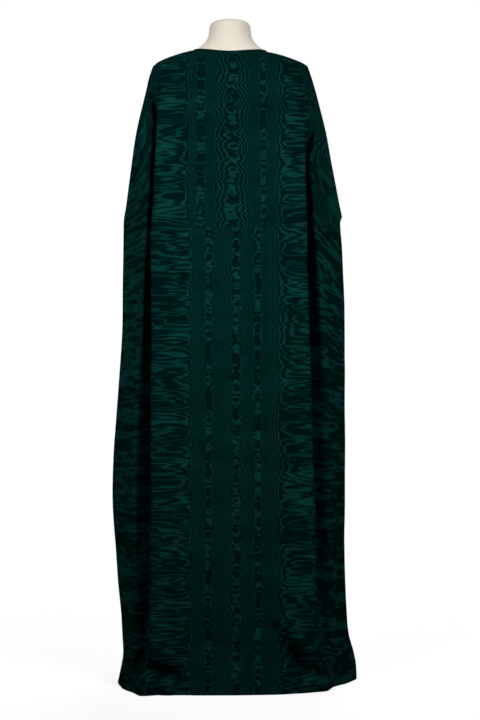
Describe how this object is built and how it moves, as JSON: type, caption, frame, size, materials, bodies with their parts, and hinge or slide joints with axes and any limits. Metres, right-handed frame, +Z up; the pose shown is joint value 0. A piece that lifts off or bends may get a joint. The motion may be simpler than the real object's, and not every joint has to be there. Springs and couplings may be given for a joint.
{
  "type": "kaftan on a dress form",
  "caption": "Floor-length moire kaftan with wide sleeves cut in one with the body, hanging open at neck, hands and hem on a limbless dress form with a round stand.",
  "frame": {"origin": "on the stand's underside, straight below the middle of the neck; the floor is z = 0", "axes": "+Z up; the garment's back faces -Y and its front faces +Y; +X is the wearer's right"},
  "size_m": [0.5826, 0.4226, 1.566],
  "materials": {
    "kaftan_silk": "moire silk, soft sheen",
    "binding_silk": "soft sheen",
    "form_canvas": "matt canvas",
    "stand_steel": "satin"
  },
  "bodies": {
    "root": {"back_upper": "kaftan_silk", "back_lower": "kaftan_silk", "front": "kaftan_silk", "neck_binding": "binding_silk", "dress_form": "form_canvas", "stand_pole": "stand_steel", "stand_base": "stand_steel"}
  },
  "joints": []
}
